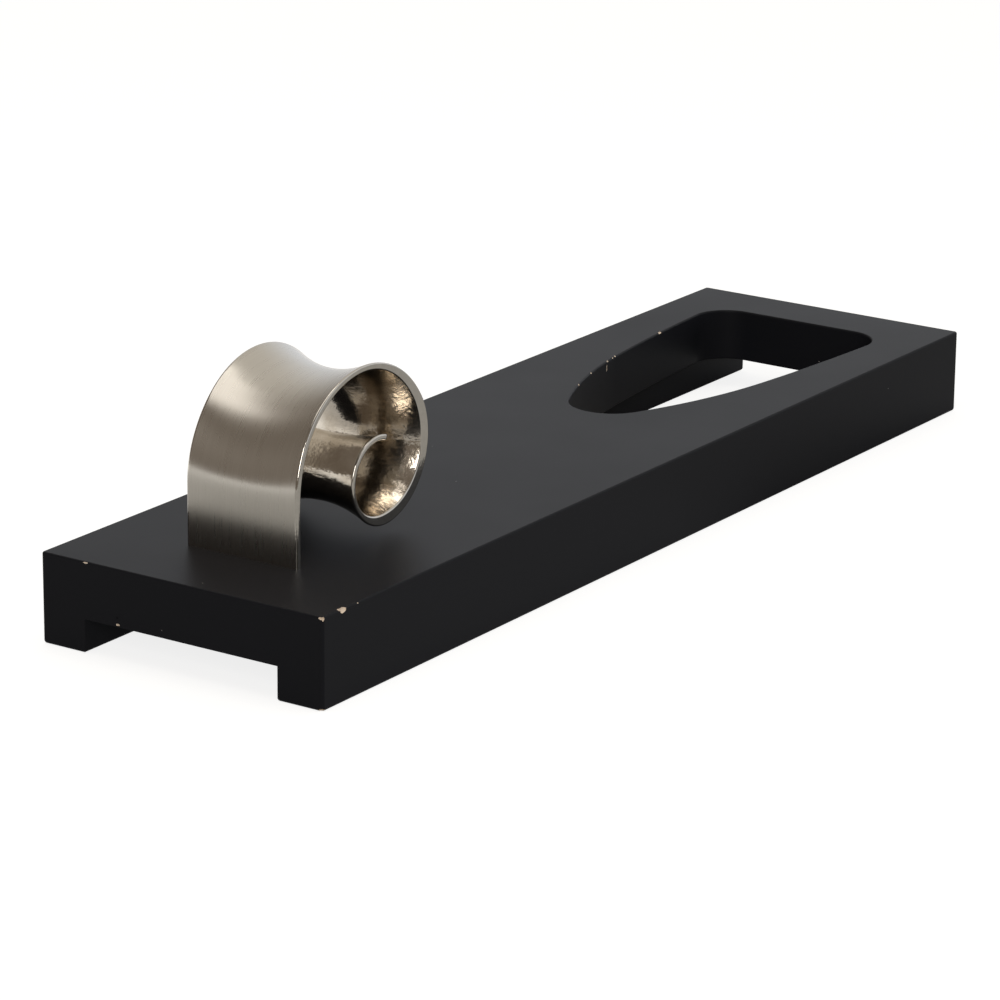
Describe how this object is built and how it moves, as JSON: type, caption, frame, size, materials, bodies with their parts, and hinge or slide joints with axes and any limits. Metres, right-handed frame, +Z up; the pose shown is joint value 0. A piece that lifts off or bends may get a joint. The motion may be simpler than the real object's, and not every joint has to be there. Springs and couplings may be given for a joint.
{
  "type": "wine bottle holder",
  "caption": "Low rectangular stand that holds a lying wine bottle: its base sinks into a tapered cut-out and its neck rests on a scrolled metal saddle.",
  "frame": {"origin": "on the table, under the middle of the board's footprint", "axes": "+X across the board, +Y along the board from the horn to the cut-out, +Z up"},
  "size_m": [0.096, 0.35, 0.0773],
  "materials": {
    "painted_board": "satin black paint on fibreboard",
    "horn_metal": "cast, outside brushed satin, inside polished",
    "zinc_steel": "bright zinc plate",
    "beech": "plain beech"
  },
  "bodies": {
    "root": {"top_board": "painted_board", "left_runner": "painted_board", "right_runner": "painted_board", "horn": "horn_metal", "left_horn_screw": "zinc_steel", "left_horn_washer": "zinc_steel", "left_front_dowel": "beech", "left_middle_dowel": "beech", "left_rear_dowel": "beech", "right_horn_screw": "zinc_steel", "right_horn_washer": "zinc_steel", "right_front_dowel": "beech", "right_middle_dowel": "beech", "right_rear_dowel": "beech"}
  },
  "joints": []
}
